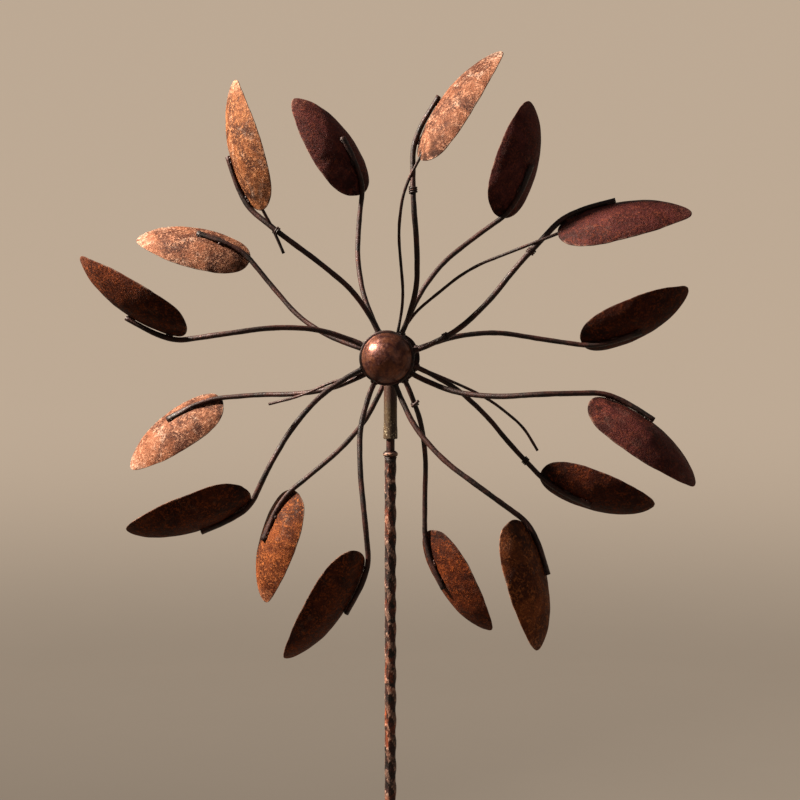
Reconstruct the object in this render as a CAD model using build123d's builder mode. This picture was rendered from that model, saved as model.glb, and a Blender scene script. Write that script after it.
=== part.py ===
from build123d import *
import os
from math import cos, degrees, radians, sin, sqrt, tan

os.makedirs("parts", exist_ok=True)

# A garden wind spinner: two counter-rotating rotors of eight cupped leaves each, on a swivelling
# head that stands on a hammered steel pole. Millimetres, +Z up. The origin is on the pole's axis
# at ground level, and the front rotor faces -Y.

# --- Driving dimensions -------------------------------------------------------------------------

# Ground anchor and pole
hub_height = 1350.0
pole_radius = 6.0
pole_bore_radius = 4.2
pole_sections = 3
pole_joint_depth = 40.0
spike_radius = 6.0
spike_length = 200.0
spike_point_length = 30.0
shoulder_radius = 9.0
shoulder_height = 20.0
fork_rod_radius = 4.0
fork_half_width = 46.0
fork_depth = 150.0
fork_corner_radius = 14.0

# Swivel between pole and head
collar_radius = 7.5
collar_height = 7.0
spigot_depth = 60.0
thrust_ball_radius = 3.0
thrust_pad_height = 3.0

# Head
sleeve_radius = 7.0
sleeve_bore_radius = 5.6
sleeve_drop = 80.0
sleeve_gap = 12.0
bush_length = 12.0
boss_radius = 11.0
boss_half_length = 24.0
axle_radius = 4.0
axle_stub = 7.5
nut_across_flats = 12.0
nut_height = 6.0
nut_chamfer = 0.8

# Rotor bearings, two in each hub
bearing_radius = 11.0
bearing_width = 7.0
bearing_gap = 1.0
inner_ring_radius = 6.1
outer_ring_bore = 8.9
ball_radius = 1.9
ball_count = 7

# Rotor hub and cap
hub_wall = 3.0
flange_radius = 26.5
flange_thickness = 2.5
hub_to_boss = 5.0
cap_radius = 24.0
cap_height = 18.0
cap_wall = 1.5

# Arms, leaves and tie wires
arm_count = 8
arm_radius = 2.6
tie_radius = 1.45
leaf_length = 124.0
leaf_width = 60.0
leaf_thickness = 1.2
leaf_bow_radius = 135.0
leaf_cup_radius = 45.0
leaf_widest = 0.42
tip_circle_radius = 303.0
leaf_plane_depth = 80.0

# Named clearances
running_clearance = 0.05
ball_clearance = 0.05
pad_clearance = 0.2
arm_clearance = 0.6
weld_bite = 0.3

# The leaves are set by hand, so each arm stands a few degrees off an even eighth of a turn, and
# its middle is bent and its tip reaches a little more or less than its neighbours'. Angles are
# seen from the front, anticlockwise from +X; hand is the side that the arms sweep to. arm_on_leaf
# is where an arm lies on its leaf: distance along from the crown, across it, and gap under the rod.
FRONT = {
    "name": "front",
    "side": -1,
    "hand": 1,
    "first_arm": 31,
    "arm_set": [-1.8, -3, 1.6, 0, 7, 0, 1, -4],
    "pitch": 50,
    "lean": 20.5,
    "swing": 1.0,
    "mid_set": [0.5, 2.5, 3.5, 0, 0, 3, -1, 0],
    "reach_set": [9, -1, -9, 0, -9, -5, 4, 7],
    "arm_on_leaf": [(-57, 17, 1.2), (-31, 22, 0.0), (-4, 23, -0.4)],
}
REAR = {
    "name": "rear",
    "side": 1,
    "hand": -1,
    "first_arm": 15,
    "arm_set": [-5, -1, 3, 2, 4, -2, 0.7, -3],
    "pitch": 42,
    "lean": 17.0,
    "swing": 0.8,
    "mid_set": [-3, -3.5, -2, -4, 0, 0, 0, 0],
    "reach_set": [8, -3, -10, 1, 5, -8, 0, 7],
    "arm_on_leaf": [(-56, 3, 0.9), (-29, 7, 0.0), (-2, 10, -0.4)],
}

# An arm's S-bend between hub and leaf: share of the way from the flange's rim to the leaf's foot,
# angle ahead of the leaf's middle, how far it follows that arm's own mid_set, and its share of the
# way from hub plane to leaf plane.
ARM_ROUTE = [(0.06, -13.5, 0.2, 0.0), (0.28, -9, 0.7, 0.28), (0.52, -1.5, 1.0, 0.62), (0.76, 5, 0.6, 0.88)]
ARM_START_LEAD = -15

# Thin tie wires beside some arms: the arm, whether the tie reaches its leaf's foot or has snapped,
# and its route as for an arm.
FRONT_TIES = [
    (0, True, [(-0.04, 32, 0.0), (0.15, 30, 0.1), (0.55, 18, 0.5), (0.83, 10, 0.85)]),
    (1, True, [(-0.04, -9, 0.0), (0.2, 1, 0.1), (0.59, 11.5, 0.5), (0.83, 10.5, 0.85)]),
    (2, True, [(0.69, 11.5, 0.8), (0.82, 8.5, 0.88)]),
]
REAR_TIES = [
    (7, False, [(-0.04, -13, 0.0), (0.21, -11.5, 0.12), (0.49, -10, 0.4), (0.77, -5, 0.7), (0.93, 0, 0.82)]),
    (4, False, [(-0.04, -11, 0.0), (0.12, -5, 0.05), (0.27, -2, 0.2), (0.49, -3, 0.4), (0.71, -1, 0.6)]),
    (6, False, [(0.15, -15, 0.0), (0.165, -5, 0.06)]),
]

# --- Derived places -----------------------------------------------------------------------------

sleeve_bottom = hub_height - sleeve_drop
collar_top = sleeve_bottom - sleeve_gap
pole_top = collar_top - collar_height
section_length = (pole_top - shoulder_height) / pole_sections
pad_top = hub_height - boss_radius - pad_clearance
ball_centre = pad_top - thrust_pad_height - running_clearance - thrust_ball_radius
hub_radius = bearing_radius + hub_wall
hub_inner_end = boss_half_length + hub_to_boss
hub_length = 2 * bearing_width + bearing_gap + 2.0
hub_outer_end = hub_inner_end + hub_length
first_bearing = hub_inner_end + 1.0
second_bearing = first_bearing + bearing_width + bearing_gap
bearings_end = second_bearing + bearing_width
ball_circle_radius = (inner_ring_radius + outer_ring_bore) / 2
arm_plane = hub_outer_end - flange_thickness - arm_radius
arm_start_radius = hub_radius + arm_radius + arm_clearance
leaf_foot_radius = tip_circle_radius - leaf_length * cos(radians(FRONT["lean"]))
leaf_bow = leaf_bow_radius - sqrt(leaf_bow_radius**2 - (leaf_length / 2) ** 2)


def save(part, label):
    part.label = label
    export_step(part, f"parts/{label}.step")


def facing(side, distance):
    """Plane square to the rotor axis, its normal pointing away from the pole on that side."""
    return Plane(origin=(0, side * distance, hub_height), x_dir=(1, 0, 0), z_dir=(0, side, 0))


def at(rotor, radius, angle, share=0.0):
    """Point of a rotor by polar place, share of the way from its arm plane to its leaf plane."""
    depth = arm_plane + share * (leaf_plane_depth - arm_plane)
    x = radius * cos(radians(angle))
    z = hub_height + radius * sin(radians(angle))
    return Vector(x, rotor["side"] * depth, z)


def along_arm(share):
    """Distance from the rotor's axis, by share of the way from flange rim to leaf foot."""
    return flange_radius + share * (leaf_foot_radius - flange_radius)


def leaf_angle(rotor, number):
    return rotor["first_arm"] + 360 / arm_count * number + rotor["arm_set"][number]


def leaf_seat(rotor, number):
    """Plane on the leaf's crown: X runs from foot to tip, Z is the convex side's normal."""
    hand = rotor["hand"]
    lean = radians(rotor["lean"])
    heading = leaf_angle(rotor, number) - hand * rotor["lean"]
    half = leaf_length / 2
    # The middle lies on the leaf's own ray, as far out as puts its tip at that arm's reach.
    tip_radius = tip_circle_radius + rotor["reach_set"][number]
    middle_radius = sqrt(tip_radius**2 - (half * sin(lean)) ** 2) - half * cos(lean)
    middle = at(rotor, middle_radius, leaf_angle(rotor, number), 1.0)
    along = Vector(cos(radians(heading)), 0, sin(radians(heading)))
    across = Vector(-hand * along.Z, 0, hand * along.X)
    pitch = radians(rotor["pitch"])
    normal = across * sin(pitch) + Vector(0, -cos(pitch), 0)
    return Plane(origin=middle + normal * leaf_bow, x_dir=along, z_dir=normal)


def on_leaf(rotor, number, along, across, lift):
    """Point at a distance along and across the leaf's skin, lifted off it."""
    turn = along / leaf_bow_radius
    roll = across * rotor["hand"] / leaf_cup_radius
    reach = leaf_bow_radius - leaf_cup_radius + (leaf_cup_radius + lift) * cos(roll)
    local = (reach * sin(turn), (leaf_cup_radius + lift) * sin(roll), reach * cos(turn) - leaf_bow_radius)
    return leaf_seat(rotor, number).from_local_coords(Vector(*local))


def bend_radii(points):
    """The largest even bend at each corner of a wire."""
    radii = []
    for before, corner, after in zip(points, points[1:], points[2:]):
        first = corner - before
        second = after - corner
        turn = radians(first.get_angle(second))
        radii.append(0.45 * min(first.length, second.length) / tan(turn / 2))
    return radii


def sweep_wire(points, radius):
    """Adds a round wire along the points to the part being built."""
    with BuildLine() as path:
        if len(points) > 2:
            FilletPolyline(*points, radius=bend_radii(points))
        else:
            Line(*points)
    with BuildSketch(Plane(origin=path.wire() @ 0, z_dir=path.wire() % 0)) as section:
        Circle(radius)
    sweep(section.sketch, path=path.wire())


# --- Ground anchor and pole ---------------------------------------------------------------------

with BuildPart() as ground_spike:
    with BuildSketch(Plane.XZ):
        with BuildLine():
            Polyline(
                (0, -spike_length - spike_point_length),
                (spike_radius, -spike_length),
                (spike_radius, 0),
                (shoulder_radius, 0),
                (shoulder_radius, shoulder_height),
                (pole_bore_radius, shoulder_height),
                (pole_bore_radius, shoulder_height + pole_joint_depth),
                (0, shoulder_height + pole_joint_depth),
                close=True,
            )
        make_face()
    revolve(axis=Axis.Z)
save(ground_spike.part, "ground_spike")

with BuildPart() as step_fork:
    fork_y = shoulder_radius + fork_rod_radius
    fork_z = shoulder_height / 2
    with BuildLine() as fork_path:
        FilletPolyline(
            (-fork_half_width, fork_y, -fork_depth),
            (-fork_half_width, fork_y, fork_z),
            (fork_half_width, fork_y, fork_z),
            (fork_half_width, fork_y, -fork_depth),
            radius=fork_corner_radius,
        )
    with BuildSketch(Plane(origin=fork_path.wire() @ 0, z_dir=fork_path.wire() % 0)):
        Circle(fork_rod_radius)
    sweep()
    chamfer(step_fork.faces().sort_by(Axis.Z)[:2].edges(), length=fork_rod_radius * 0.6)
save(step_fork.part, "step_fork")

SECTION_NAMES = ["pole_lower", "pole_middle", "pole_upper"]
for number, name in enumerate(SECTION_NAMES):
    with BuildPart() as section:
        with BuildSketch(Plane.XY.offset(shoulder_height + number * section_length)):
            Circle(pole_radius)
            Circle(pole_bore_radius, mode=Mode.SUBTRACT)
        extrude(amount=section_length)
    save(section.part, name)

with BuildPart() as joint_spigots:
    for number in range(1, pole_sections):
        joint_height = shoulder_height + number * section_length
        with BuildSketch(Plane.XY.offset(joint_height - pole_joint_depth)):
            Circle(pole_bore_radius)
        extrude(amount=2 * pole_joint_depth)
save(joint_spigots.part, "pole_joint_spigots")

with BuildPart() as pole_collar:
    with BuildSketch(Plane.XY.offset(pole_top)):
        Circle(collar_radius)
        Circle(pole_bore_radius, mode=Mode.SUBTRACT)
    extrude(amount=collar_height)
    chamfer(pole_collar.edges().filter_by(GeomType.CIRCLE).group_by(SortBy.RADIUS)[-1], length=1.0)
save(pole_collar.part, "pole_collar")

with BuildPart() as pivot_spigot:
    with BuildSketch(Plane.XY.offset(pole_top - spigot_depth)):
        Circle(pole_bore_radius)
    extrude(amount=ball_centre - (pole_top - spigot_depth))
    with Locations((0, 0, ball_centre)):
        Sphere(thrust_ball_radius, mode=Mode.SUBTRACT)
save(pivot_spigot.part, "pivot_spigot")

with BuildPart() as thrust_ball:
    with Locations((0, 0, ball_centre)):
        Sphere(thrust_ball_radius)
save(thrust_ball.part, "thrust_ball")

# --- Head ---------------------------------------------------------------------------------------

with BuildPart() as axle_boss:
    with BuildSketch(facing(-1, -boss_half_length)):
        Circle(boss_radius)
        Circle(axle_radius, mode=Mode.SUBTRACT)
    extrude(amount=2 * boss_half_length)
    chamfer(axle_boss.edges().filter_by(GeomType.CIRCLE).group_by(SortBy.RADIUS)[-1], length=1.0)
save(axle_boss.part, "axle_boss")

with BuildPart() as head_sleeve:
    with BuildSketch(Plane.XY.offset(sleeve_bottom)):
        Circle(sleeve_radius)
        Circle(sleeve_bore_radius, mode=Mode.SUBTRACT)
    extrude(amount=sleeve_drop)
    with BuildSketch(facing(-1, -boss_half_length)):
        Circle(boss_radius)
    extrude(amount=2 * boss_half_length, mode=Mode.SUBTRACT)
save(head_sleeve.part, "head_sleeve")

with BuildPart() as sleeve_bushes:
    upper_bush = ball_centre - thrust_ball_radius - bush_length
    for bush_bottom in (sleeve_bottom, upper_bush):
        with BuildSketch(Plane.XY.offset(bush_bottom)):
            Circle(sleeve_bore_radius)
            Circle(pole_bore_radius + running_clearance, mode=Mode.SUBTRACT)
        extrude(amount=bush_length)
save(sleeve_bushes.part, "sleeve_bushes")

with BuildPart() as thrust_pad:
    with BuildSketch(Plane.XY.offset(pad_top - thrust_pad_height)):
        Circle(sleeve_bore_radius)
    extrude(amount=thrust_pad_height)
save(thrust_pad.part, "thrust_pad")

with BuildPart() as axle:
    axle_half = bearings_end + axle_stub
    with BuildSketch(facing(-1, -axle_half)):
        Circle(axle_radius)
    extrude(amount=2 * axle_half)
    chamfer(axle.edges().filter_by(GeomType.CIRCLE), length=0.8)
save(axle.part, "axle")

with BuildPart() as axle_spacers:
    for side in (-1, 1):
        for start, length in ((boss_half_length, first_bearing - boss_half_length),
                              (first_bearing + bearing_width, bearing_gap)):
            with BuildSketch(facing(side, start)):
                Circle(inner_ring_radius)
                Circle(axle_radius, mode=Mode.SUBTRACT)
            extrude(amount=length)
save(axle_spacers.part, "axle_spacers")

with BuildPart() as axle_nuts:
    for side in (-1, 1):
        with BuildSketch(facing(side, bearings_end)):
            RegularPolygon(nut_across_flats / 2, 6, major_radius=False)
            Circle(axle_radius, mode=Mode.SUBTRACT)
        extrude(amount=nut_height)
    chamfer(axle_nuts.edges().filter_by(GeomType.LINE).filter_by(Axis.Y), length=nut_chamfer / 2)
save(axle_nuts.part, "axle_nuts")

# --- Bearings -----------------------------------------------------------------------------------


def bearing_ring(side, start, inner, outer):
    """Adds one grooved bearing ring to the part being built."""
    with BuildSketch(facing(side, start)) as ring:
        Circle(outer)
        Circle(inner, mode=Mode.SUBTRACT)
    extrude(ring.sketch, amount=bearing_width)
    with Locations(facing(side, start + bearing_width / 2)):
        Torus(ball_circle_radius, ball_radius + ball_clearance, mode=Mode.SUBTRACT)


with BuildPart() as inner_rings:
    for side in (-1, 1):
        for start in (first_bearing, second_bearing):
            bearing_ring(side, start, axle_radius, inner_ring_radius)
save(inner_rings.part, "bearing_inner_rings")


# --- Rotors -------------------------------------------------------------------------------------

with BuildPart() as leaf_blank:
    with BuildSketch(Plane.YZ):
        with Locations((0, -leaf_cup_radius)):
            Circle(leaf_cup_radius)
            Circle(leaf_cup_radius - leaf_thickness, mode=Mode.SUBTRACT)
        with Locations((0, leaf_thickness)):
            Rectangle(leaf_width + 10, 2 * leaf_cup_radius * 0.7, mode=Mode.INTERSECT)
    revolve(axis=Axis((0, 0, -leaf_bow_radius), (0, 1, 0)))
    with BuildSketch(Plane.XY):
        half_length = leaf_length / 2
        half_width = leaf_width / 2
        widest_x = leaf_length * leaf_widest - half_length
        with BuildLine():
            for rim in (-half_width, half_width):
                Bezier(
                    (-half_length, 0),
                    (-half_length, rim * 0.72),
                    (widest_x - leaf_length * 0.22, rim),
                    (widest_x, rim),
                )
                Bezier(
                    (widest_x, rim),
                    (widest_x + leaf_length * 0.26, rim),
                    (half_length, rim * 0.42),
                    (half_length, 0),
                )
        make_face()
    extrude(amount=leaf_width, both=True, mode=Mode.INTERSECT)


def make_hub(rotor):
    side = rotor["side"]
    with BuildPart() as hub:
        with BuildSketch(facing(side, hub_inner_end)):
            Circle(hub_radius)
            Circle(bearing_radius, mode=Mode.SUBTRACT)
        extrude(amount=hub_length)
        with BuildSketch(facing(side, hub_outer_end - flange_thickness)):
            Circle(flange_radius)
            Circle(bearing_radius, mode=Mode.SUBTRACT)
        extrude(amount=flange_thickness)
    save(hub.part, f"{rotor['name']}_hub")


def make_bearing_outers(rotor):
    with BuildPart() as outers:
        for start in (first_bearing, second_bearing):
            bearing_ring(rotor["side"], start, outer_ring_bore, bearing_radius)
    save(outers.part, f"{rotor['name']}_bearing_outer_rings")


def make_bearing_balls(rotor):
    with BuildPart() as balls:
        for start in (first_bearing, second_bearing):
            with Locations(facing(rotor["side"], start + bearing_width / 2)):
                with PolarLocations(ball_circle_radius, ball_count):
                    Sphere(ball_radius)
    save(balls.part, f"{rotor['name']}_bearing_balls")


def make_cap(rotor):
    """Domed cap over the axle nut, seated on the flange's outer face."""
    dome_radius = (cap_radius**2 + cap_height**2) / (2 * cap_height)
    inner_radius = dome_radius - cap_wall
    inner_rim = sqrt(inner_radius**2 - (dome_radius - cap_height) ** 2)
    with BuildPart() as cap:
        start = hub_outer_end
        side = rotor["side"]
        with BuildSketch(Plane(origin=(0, 0, hub_height), x_dir=(1, 0, 0), z_dir=(0, 0, 1))):
            with BuildLine():
                centre = side * (start + cap_height - dome_radius)
                Line((inner_rim, side * start), (cap_radius, side * start))
                RadiusArc((cap_radius, side * start), (0, side * (start + cap_height)), side * -dome_radius)
                Line((0, side * (start + cap_height)), (0, centre + side * inner_radius))
                RadiusArc((0, centre + side * inner_radius), (inner_rim, side * start), side * inner_radius)
            make_face()
        revolve(axis=Axis((0, 0, hub_height), (0, 1, 0)))
    save(cap.part, f"{rotor['name']}_cap")


def make_leaf(rotor, number):
    with BuildPart() as leaf:
        with Locations(leaf_seat(rotor, number)):
            add(leaf_blank.part)
    save(leaf.part, f"{rotor['name']}_leaf_{number + 1}")


def make_arm(rotor, number):
    """S-bent rod welded behind the flange and along the leaf's convex side."""
    base = leaf_angle(rotor, number)
    sweep_to = rotor["hand"] * rotor["swing"]
    own_bend = rotor["hand"] * rotor["mid_set"][number]
    points = [at(rotor, arm_start_radius, base + sweep_to * ARM_START_LEAD)]
    for reach, lead, follow, share in ARM_ROUTE:
        angle = base + sweep_to * lead + own_bend * follow
        points.append(at(rotor, along_arm(reach), angle, share))
    for along, across, gap in rotor["arm_on_leaf"]:
        points.append(on_leaf(rotor, number, along, across, arm_radius - weld_bite + gap))
    with BuildPart() as arm:
        sweep_wire(points, arm_radius)
    save(arm.part, f"{rotor['name']}_arm_{number + 1}")


def make_ties(rotor, ties):
    """Thin wires behind the arms, whole or snapped."""
    foot = -leaf_length / 2 + 6
    under = -leaf_thickness - tie_radius + weld_bite
    behind = arm_radius + tie_radius - weld_bite
    with BuildPart() as wires:
        for number, reaches_leaf, route in ties:
            base = leaf_angle(rotor, number)
            points = []
            for reach, lead, share in route:
                place = at(rotor, along_arm(reach), base + rotor["hand"] * lead, share)
                points.append(place - Vector(0, rotor["side"] * behind, 0))
            if reaches_leaf:
                points.append(on_leaf(rotor, number, foot, 1, under))
            sweep_wire(points, tie_radius)
    save(wires.part, f"{rotor['name']}_tie_wires")


for rotor, ties in ((FRONT, FRONT_TIES), (REAR, REAR_TIES)):
    make_hub(rotor)
    make_bearing_outers(rotor)
    make_bearing_balls(rotor)
    make_cap(rotor)
    for number in range(arm_count):
        make_leaf(rotor, number)
        make_arm(rotor, number)
    make_ties(rotor, ties)
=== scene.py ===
import math

import bmesh
import bpy
from bpy.props import FloatProperty, FloatVectorProperty, IntProperty, PointerProperty
from mathutils import Euler, Matrix, Vector, noise


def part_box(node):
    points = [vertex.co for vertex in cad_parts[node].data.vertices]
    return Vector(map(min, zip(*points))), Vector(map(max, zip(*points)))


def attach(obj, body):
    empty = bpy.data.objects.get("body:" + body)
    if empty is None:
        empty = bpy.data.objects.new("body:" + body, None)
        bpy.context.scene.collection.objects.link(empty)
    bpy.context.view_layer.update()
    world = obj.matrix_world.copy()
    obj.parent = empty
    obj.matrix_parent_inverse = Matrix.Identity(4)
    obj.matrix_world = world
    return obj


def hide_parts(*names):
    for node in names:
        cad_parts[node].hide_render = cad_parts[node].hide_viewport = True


bl_info = {
    "name": "Forged Wind Spinner",
    "version": (1, 0, 0),
    "blender": (4, 5, 0),
    "location": "View3D > Sidebar > Wind Spinner",
    "description": "Forged and rusted pieces of a garden wind spinner with two leaf rotors",
    "category": "Add Mesh",
}

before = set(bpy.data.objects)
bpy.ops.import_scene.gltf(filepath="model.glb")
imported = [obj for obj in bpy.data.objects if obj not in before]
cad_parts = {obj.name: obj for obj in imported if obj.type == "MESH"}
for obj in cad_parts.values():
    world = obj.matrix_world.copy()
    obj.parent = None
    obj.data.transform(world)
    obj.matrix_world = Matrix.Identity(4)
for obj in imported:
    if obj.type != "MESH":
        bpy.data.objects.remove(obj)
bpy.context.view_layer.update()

# --- Places read from the frame -----------------------------------------------------------------

ROTORS = ("front", "rear")
SIDE = {"front": -1.0, "rear": 1.0}
ARM_COUNT = sum(1 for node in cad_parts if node.startswith("front_arm_"))
HUB_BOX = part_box("front_hub")
HUB_HEIGHT = (HUB_BOX[0].z + HUB_BOX[1].z) / 2
HUB = Vector((0.0, 0.0, HUB_HEIGHT))
FLANGE_RADIUS = (HUB_BOX[1].z - HUB_BOX[0].z) / 2
HUB_START = -HUB_BOX[1].y
HUB_END = -HUB_BOX[0].y
CAP_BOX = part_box("front_cap")
CAP_RADIUS = (CAP_BOX[1].x - CAP_BOX[0].x) / 2
CAP_HEIGHT = CAP_BOX[1].y - CAP_BOX[0].y
BOSS_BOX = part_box("axle_boss")
BOSS_RADIUS = (BOSS_BOX[1].x - BOSS_BOX[0].x) / 2
SLEEVE_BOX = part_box("head_sleeve")
SLEEVE_RADIUS = (SLEEVE_BOX[1].x - SLEEVE_BOX[0].x) / 2
COLLAR_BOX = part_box("pole_collar")
COLLAR_RADIUS = (COLLAR_BOX[1].x - COLLAR_BOX[0].x) / 2
POLE_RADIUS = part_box("pole_upper")[1].x
SPIGOT_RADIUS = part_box("pivot_spigot")[1].x
BEARING_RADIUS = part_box("front_bearing_outer_rings")[1].x
AXLE_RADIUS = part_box("axle")[1].x
BUSH_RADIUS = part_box("sleeve_bushes")[1].x

MM = 0.001
FULL_TURN = 2 * math.pi


# --- Sizes and colours a user would change ------------------------------------------------------


class SpinnerLeafSizes(bpy.types.PropertyGroup):
    length: FloatProperty(name="Leaf Length", description="Foot to tip, straight across",
                          default=124 * MM, unit="LENGTH")
    width: FloatProperty(name="Leaf Width", description="Across the widest place",
                         default=60 * MM, unit="LENGTH")
    thickness: FloatProperty(name="Sheet Thickness", description="Thickness of the leaf's sheet",
                             default=1.2 * MM, unit="LENGTH")
    bow_radius: FloatProperty(name="Bow Radius", description="Bend of the leaf along its length",
                              default=135 * MM, unit="LENGTH")
    cup_radius: FloatProperty(name="Cup Radius", description="Bend of the leaf across its width",
                              default=45 * MM, unit="LENGTH")
    beat_depth: FloatProperty(name="Beat Depth", description="How deep the broad hammer dents are",
                              default=0.7 * MM, unit="LENGTH")
    rim_wave: FloatProperty(name="Rim Wave", description="How far the cut rim wanders",
                            default=0.5 * MM, unit="LENGTH")


class SpinnerIronSizes(bpy.types.PropertyGroup):
    rod_radius: FloatProperty(name="Rod Radius", description="Radius of the arms' round rod",
                              default=2.6 * MM, unit="LENGTH")
    rod_unevenness: FloatProperty(name="Rod Unevenness", description="Forging marks on the arms",
                                  default=0.22 * MM, unit="LENGTH")
    tab_spread: FloatProperty(name="Tab Spread", description="Widening of an arm's beaten end",
                              default=1.1 * MM, unit="LENGTH")
    tab_squeeze: FloatProperty(name="Tab Squeeze", description="Flattening of an arm's beaten end",
                               default=0.5 * MM, unit="LENGTH")
    weld_radius: FloatProperty(name="Weld Bead", description="Radius of a weld bead",
                               default=1.7 * MM, unit="LENGTH")
    hammer_pitch: FloatProperty(name="Hammer Pitch", description="Distance between pole dents",
                                default=23 * MM, unit="LENGTH")
    hammer_depth: FloatProperty(name="Hammer Depth", description="Depth of the pole dents",
                                default=0.9 * MM, unit="LENGTH")
    hammer_rows: IntProperty(name="Hammer Rows", description="Rows of dents round the pole",
                             default=5, min=3, max=9)
    planish_depth: FloatProperty(name="Planish Depth", description="Depth of the cap's flats",
                                 default=0.16 * MM, unit="LENGTH")


class SpinnerColours(bpy.types.PropertyGroup):
    rust_orange: FloatVectorProperty(name="Orange Rust", description="Young rust on sunny leaves",
                                     subtype="COLOR", default=(0.40, 0.125, 0.040))
    rust_pale: FloatVectorProperty(name="Pale Rust", description="Dry rubbed places on leaves",
                                   subtype="COLOR", default=(0.66, 0.47, 0.36))
    rust_brown: FloatVectorProperty(name="Brown Rust", description="Settled rust",
                                    subtype="COLOR", default=(0.075, 0.020, 0.009))
    rust_maroon: FloatVectorProperty(name="Maroon Rust", description="Old purple-brown rust",
                                     subtype="COLOR", default=(0.034, 0.009, 0.0065))
    rust_black: FloatVectorProperty(name="Black Scale", description="Forge scale in the hollows",
                                    subtype="COLOR", default=(0.007, 0.0035, 0.0025))
    copper: FloatVectorProperty(name="Cap Copper", description="Worn face of the domed caps",
                                subtype="COLOR", default=(0.125, 0.040, 0.020))
    olive: FloatVectorProperty(name="Olive Patina", description="Olive-brown of the sleeve",
                               subtype="COLOR", default=(0.080, 0.046, 0.015))


class SpinnerStageSettings(bpy.types.PropertyGroup):
    camera_distance: FloatProperty(name="Camera Distance", description="Camera to pole axis",
                                   default=1.320, unit="LENGTH")
    camera_azimuth: FloatProperty(name="Camera Azimuth", description="Camera round the pole",
                                  default=math.radians(4.5), unit="ROTATION")
    aim_right: FloatProperty(name="Aim Right", description="Camera turned right of the hub",
                             default=math.radians(0.41), unit="ROTATION")
    aim_down: FloatProperty(name="Aim Down", description="Camera tipped below the hub",
                            default=math.radians(1.8), unit="ROTATION")
    lens: FloatProperty(name="Lens", description="Focal length in millimetres", default=60.0)
    key_power: FloatProperty(name="Key Light", description="Power of the key light in watts",
                             default=62.0)
    fill_power: FloatProperty(name="Fill Light", description="Power of the fill light in watts",
                              default=4.0)
    sky_strength: FloatProperty(name="Sky Strength", description="Light of the open top",
                                default=0.15)
    wall_glow: FloatProperty(name="Wall Glow", description="Light of the wall behind the spinner",
                             default=0.42)


# --- Mesh helpers -------------------------------------------------------------------------------


def finish_piece(bm, name, material, body, replaced, smooth=40.0):
    """Makes the bmesh an object that rides on a body and stands for its CAD nodes."""
    mesh = bpy.data.meshes.new(name)
    bm.to_mesh(mesh)
    bm.free()
    mesh.shade_smooth()
    mesh.set_sharp_from_angle(angle=math.radians(smooth))
    mesh.materials.append(material)
    piece = bpy.data.objects.new(name, mesh)
    bpy.context.scene.collection.objects.link(piece)
    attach(piece, body)
    if replaced:
        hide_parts(*replaced)
    return piece


def finish_cad(nodes, material):
    """Gives CAD nodes that keep their own shape a better material."""
    for node in nodes:
        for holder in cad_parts[node].material_slots:
            holder.material = material


def copy_of(node):
    """A bmesh with a CAD node's mesh, its loose triangles merged."""
    bm = bmesh.new()
    bm.from_mesh(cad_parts[node].data)
    bmesh.ops.remove_doubles(bm, verts=bm.verts, dist=0.001 * MM)
    return bm


def dense_copy(node, longest, rounds=4):
    """A copy of a CAD node whose long edges are halved a few times over."""
    bm = copy_of(node)
    for _ in range(rounds):
        long_edges = [edge for edge in bm.edges if edge.calc_length() > longest]
        if not long_edges:
            break
        bmesh.ops.subdivide_edges(bm, edges=long_edges, cuts=1)
        bmesh.ops.triangulate(bm, faces=[face for face in bm.faces if len(face.verts) > 3])
    return bm


def lathe(bm, profile, centre, axis, steps, closed=True):
    """Spins a profile of (radius, distance along the axis) pairs a full turn."""
    axis = Vector(axis)
    outward = Vector((1.0, 0.0, 0.0))
    verts = [bm.verts.new(Vector(centre) + outward * r + axis * d) for r, d in profile]
    ends = list(zip(verts, verts[1:]))
    if closed:
        ends.append((verts[-1], verts[0]))
    edges = [bm.edges.new(pair) for pair in ends]
    bmesh.ops.spin(bm, geom=verts + edges, cent=centre, axis=axis, dvec=(0, 0, 0),
                   angle=FULL_TURN, space=Matrix.Identity(4), steps=steps, use_merge=True,
                   use_normal_flip=False, use_duplicate=False)
    bmesh.ops.remove_doubles(bm, verts=bm.verts, dist=0.01 * MM)
    bmesh.ops.recalc_face_normals(bm, faces=bm.faces)


def arc(centre, radius, start, end, count):
    """Points of an arc, angles in degrees from the first axis."""
    points = []
    for step in range(count + 1):
        angle = math.radians(start + (end - start) * step / count)
        points.append((centre[0] + radius * math.cos(angle), centre[1] + radius * math.sin(angle)))
    return points


def roughen(bm, verts, depth, grain, seed=0.0):
    """Moves vertices along their normals by smooth noise whose dents are one grain apart."""
    bm.normal_update()
    moves = []
    for vert in verts:
        value = noise.noise(vert.co / grain + Vector((seed, seed * 0.7, seed * 1.3)))
        moves.append((vert, vert.normal * value * depth))
    for vert, move in moves:
        vert.co += move


def smoothstep(low, high, value):
    """0 below a low value, 1 above a high one, and an even slope between."""
    share = min(max((value - low) / (high - low), 0.0), 1.0)
    return share * share * (3 - 2 * share)


def add_bead(bm, place, radius, along, stretch=1.0, seed=0.0):
    """One lumpy weld bead, drawn out along a direction."""
    turn = along.to_track_quat("X", "Z").to_matrix().to_4x4()
    shape = Matrix.Translation(place) @ turn @ Matrix.Diagonal((stretch, 1.0, 1.0, 1.0))
    made = bmesh.ops.create_icosphere(bm, subdivisions=2, radius=radius, matrix=shape)
    for vert in made["verts"]:
        away = vert.co - place
        lump = noise.noise(vert.co / (1.6 * MM) + Vector((seed, 0, 0)))
        vert.co = place + away * (1 + 0.28 * lump)


# --- Materials ----------------------------------------------------------------------------------


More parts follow.
